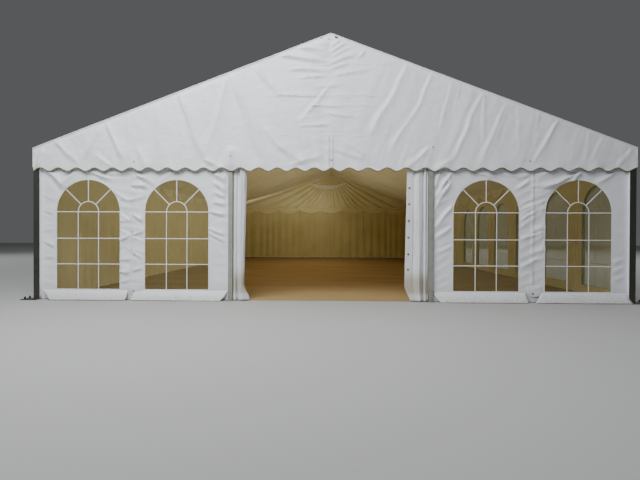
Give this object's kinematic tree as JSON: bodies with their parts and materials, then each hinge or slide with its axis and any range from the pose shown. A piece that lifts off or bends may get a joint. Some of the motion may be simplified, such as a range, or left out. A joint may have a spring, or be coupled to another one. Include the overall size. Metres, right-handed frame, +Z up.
{
  "type": "marquee tent",
  "caption": "White frame marquee with a pitched roof, scalloped valances, arched windows, ivory linings and an open doorway between gathered curtains.",
  "frame": {"origin": "on the ground at the middle of the tent", "axes": "+Z up, +Y along the ridge from the doorway gable to the rear gable, +X to the right seen from outside the doorway"},
  "size_m": [9.32, 15.2, 4],
  "materials": {
    "white_pvc": "white coated sheet, soft sheen",
    "clear_window": "clear flexible sheet",
    "aluminium_frame": "dull weathered extrusion",
    "ivory_lining": "thin pleated cloth",
    "coir_matting": "rough woven matting"
  },
  "bodies": {
    "root": {"portal_frame_1": "aluminium_frame", "portal_frame_2": "aluminium_frame", "portal_frame_3": "aluminium_frame", "portal_frame_4": "aluminium_frame", "portal_frame_5": "aluminium_frame", "portal_frame_6": "aluminium_frame", "front_gable_post_left": "aluminium_frame", "front_gable_post_right": "aluminium_frame", "rear_gable_post_left": "aluminium_frame", "rear_gable_post_right": "aluminium_frame", "front_gable_rail": "aluminium_frame", "rear_gable_rail": "aluminium_frame", "ridge_beam": "aluminium_frame", "left_eave_beam": "aluminium_frame", "right_eave_beam": "aluminium_frame", "roof_cover_1": "white_pvc", "roof_cover_2": "white_pvc", "roof_cover_3": "white_pvc", "roof_cover_4": "white_pvc", "roof_cover_5": "white_pvc", "front_gable_sheet_left": "white_pvc", "front_gable_sheet_right": "white_pvc", "rear_gable_sheet_left": "white_pvc", "rear_gable_sheet_right": "white_pvc", "front_wall_1": "white_pvc", "front_wall_2": "white_pvc", "front_wall_3": "white_pvc", "front_wall_4": "white_pvc", "left_wall": "white_pvc", "right_wall": "white_pvc", "rear_wall": "white_pvc", "left_curtain": "white_pvc", "right_curtain": "white_pvc", "front_window_1": "clear_window", "front_window_2": "clear_window", "front_window_3": "clear_window", "front_window_4": "clear_window", "right_windows_1": "clear_window", "right_windows_2": "clear_window", "right_windows_3": "clear_window", "roof_lining": "ivory_lining", "left_lining": "ivory_lining", "right_lining": "ivory_lining", "rear_lining": "ivory_lining", "floor_matting": "coir_matting"}
  },
  "joints": []
}
